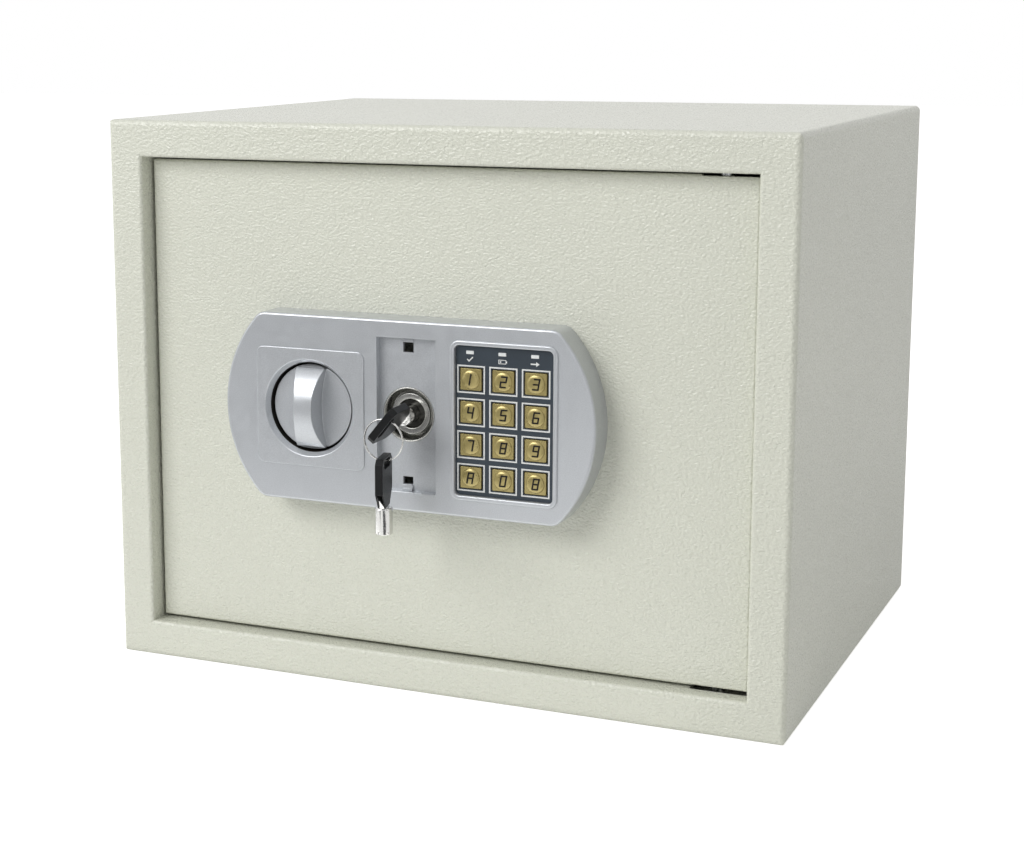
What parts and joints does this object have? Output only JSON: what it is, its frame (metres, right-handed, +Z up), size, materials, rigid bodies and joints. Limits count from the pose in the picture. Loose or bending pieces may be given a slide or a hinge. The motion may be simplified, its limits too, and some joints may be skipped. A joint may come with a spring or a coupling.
{
  "type": "safe deposit box",
  "caption": "Steel safe with a recessed hinged door, sliding bolts and a control panel with grip knob, tubular key lock, keys on a ring and a number keypad.",
  "frame": {"origin": "centre of the cabinet's underside", "axes": "+Z up, -Y out of the door, +X to the right seen from the front, where the hinge is"},
  "size_m": [0.38, 0.346, 0.3],
  "materials": {
    "cream_paint": "textured powder coat",
    "grey_felt": "needle felt",
    "silver_moulding": "satin metallic lacquer",
    "keypad_film": "satin polyester film",
    "lamp_lens": "milky",
    "gold_keys": "metallic gold",
    "black_plastic": "fine grain",
    "chrome_plate": "bright nickel plate",
    "zinc_plate": "zinc plate",
    "bright_steel": "turned",
    "circuit_board": "solder mask",
    "copper_wire": "enamelled winding",
    "cell_wrap": "printed sleeve",
    "cable_skin": "matt",
    "red_plastic": "gloss"
  },
  "bodies": {
    "cabinet": {"body_shell": "cream_paint", "back_panel": "cream_paint", "hinge_bracket_top": "cream_paint", "hinge_bracket_bottom": "cream_paint", "floor_mat": "grey_felt"},
    "door": {"door_plate": "cream_paint", "door_box": "cream_paint", "hinge_pin_top": "bright_steel", "hinge_pin_bottom": "bright_steel", "inner_cover": "cream_paint", "cover_screws": "zinc_plate", "battery_tray": "black_plastic", "battery_contacts": "chrome_plate", "batteries": "cell_wrap", "panel_moulding": "silver_moulding", "keypad_overlay": "keypad_film", "indicator_lenses": "lamp_lens", "keypad_board": "circuit_board", "panel_screws": "zinc_plate", "lock_housing": "chrome_plate", "lock_nut": "zinc_plate", "knob_bush": "zinc_plate", "bolt_guide": "zinc_plate", "carriage_screws": "bright_steel", "solenoid_frame": "zinc_plate", "solenoid_coil": "copper_wire", "plunger_spring": "bright_steel", "battery_cable": "cable_skin", "solenoid_cable": "cable_skin"},
    "knob_body": {"knob": "silver_moulding", "knob_spindle": "bright_steel", "knob_crank": "zinc_plate"},
    "bolt_body": {"bolt_carriage": "zinc_plate", "bolt_upper": "bright_steel", "bolt_lower": "bright_steel"},
    "lock_body": {"lock_plug": "chrome_plate", "lock_cam": "zinc_plate"},
    "plunger_body": {"plunger": "bright_steel"},
    "key_body": {"key_blade": "chrome_plate", "key_bow": "black_plastic"},
    "ring_body": {"key_ring": "chrome_plate"},
    "spare_key_body": {"spare_key_blade": "chrome_plate", "spare_key_bow": "black_plastic"},
    "reset_body": {"reset_button": "red_plastic"},
    "battery_cover_body": {"battery_cover": "black_plastic"},
    "button_1_body": {"button_1": "gold_keys"},
    "button_2_body": {"button_2": "gold_keys"},
    "button_3_body": {"button_3": "gold_keys"},
    "button_4_body": {"button_4": "gold_keys"},
    "button_5_body": {"button_5": "gold_keys"},
    "button_6_body": {"button_6": "gold_keys"},
    "button_7_body": {"button_7": "gold_keys"},
    "button_8_body": {"button_8": "gold_keys"},
    "button_9_body": {"button_9": "gold_keys"},
    "button_a_body": {"button_a": "gold_keys"},
    "button_0_body": {"button_0": "gold_keys"},
    "button_b_body": {"button_b": "gold_keys"}
  },
  "joints": [
    {"name": "door_hinge", "type": "hinge", "parent": "cabinet", "child": "door", "pos_m": [0.15, -0.132, 0.15], "axis": [0, 0, 1], "range_deg": [0, 110]},
    {"name": "knob_turn", "type": "hinge", "parent": "door", "child": "knob_body", "pos_m": [-0.0654, -0.15, 0.1515], "axis": [0, -1, 0], "range_deg": [0, 70]},
    {"name": "bolt_slide", "type": "slide", "parent": "door", "child": "bolt_body", "axis": [-1, 0, 0], "range_m": [0, 0.016]},
    {"name": "lock_turn", "type": "hinge", "parent": "door", "child": "lock_body", "pos_m": [-0.0099, -0.15, 0.1515], "axis": [0, -1, 0], "range_deg": [0, 90]},
    {"name": "plunger_slide", "type": "slide", "parent": "door", "child": "plunger_body", "axis": [0, 0, -1], "range_m": [0, 0.005], "deforming": ["plunger_spring"]},
    {"name": "key_slide", "type": "slide", "parent": "lock_body", "child": "key_body", "axis": [0, -1, 0], "range_m": [0, 0.03]},
    {"name": "ring_swing", "type": "hinge", "parent": "key_body", "child": "ring_body", "pos_m": [-0.0075, -0.1849, 0.15447], "axis": [1, 0, 0], "range_deg": [-30, 12]},
    {"name": "spare_key_swing", "type": "hinge", "parent": "ring_body", "child": "spare_key_body", "pos_m": [-0.0099, -0.1849, 0.13365], "axis": [1, 0, 0], "range_deg": [-35, 5]},
    {"name": "reset_press", "type": "slide", "parent": "door", "child": "reset_body", "axis": [0, -1, 0], "range_m": [0, 0.002], "stiffness_N_per_m": 800},
    {"name": "battery_cover_slide", "type": "slide", "parent": "door", "child": "battery_cover_body", "axis": [0, 0, -1], "range_m": [0, 0.014]},
    {"name": "button_1_press", "type": "slide", "parent": "door", "child": "button_1_body", "axis": [0, 1, 0], "range_m": [0, 0.0006], "stiffness_N_per_m": 1500},
    {"name": "button_2_press", "type": "slide", "parent": "door", "child": "button_2_body", "axis": [0, 1, 0], "range_m": [0, 0.0006], "stiffness_N_per_m": 1500},
    {"name": "button_3_press", "type": "slide", "parent": "door", "child": "button_3_body", "axis": [0, 1, 0], "range_m": [0, 0.0006], "stiffness_N_per_m": 1500},
    {"name": "button_4_press", "type": "slide", "parent": "door", "child": "button_4_body", "axis": [0, 1, 0], "range_m": [0, 0.0006], "stiffness_N_per_m": 1500},
    {"name": "button_5_press", "type": "slide", "parent": "door", "child": "button_5_body", "axis": [0, 1, 0], "range_m": [0, 0.0006], "stiffness_N_per_m": 1500},
    {"name": "button_6_press", "type": "slide", "parent": "door", "child": "button_6_body", "axis": [0, 1, 0], "range_m": [0, 0.0006], "stiffness_N_per_m": 1500},
    {"name": "button_7_press", "type": "slide", "parent": "door", "child": "button_7_body", "axis": [0, 1, 0], "range_m": [0, 0.0006], "stiffness_N_per_m": 1500},
    {"name": "button_8_press", "type": "slide", "parent": "door", "child": "button_8_body", "axis": [0, 1, 0], "range_m": [0, 0.0006], "stiffness_N_per_m": 1500},
    {"name": "button_9_press", "type": "slide", "parent": "door", "child": "button_9_body", "axis": [0, 1, 0], "range_m": [0, 0.0006], "stiffness_N_per_m": 1500},
    {"name": "button_a_press", "type": "slide", "parent": "door", "child": "button_a_body", "axis": [0, 1, 0], "range_m": [0, 0.0006], "stiffness_N_per_m": 1500},
    {"name": "button_0_press", "type": "slide", "parent": "door", "child": "button_0_body", "axis": [0, 1, 0], "range_m": [0, 0.0006], "stiffness_N_per_m": 1500},
    {"name": "button_b_press", "type": "slide", "parent": "door", "child": "button_b_body", "axis": [0, 1, 0], "range_m": [0, 0.0006], "stiffness_N_per_m": 1500}
  ],
  "couplings": [
    {"joint": "knob_turn", "follows": "bolt_slide", "rad_per_m": 76.35},
    {"joint": "lock_turn", "follows": "plunger_slide", "rad_per_m": 314.15}
  ]
}
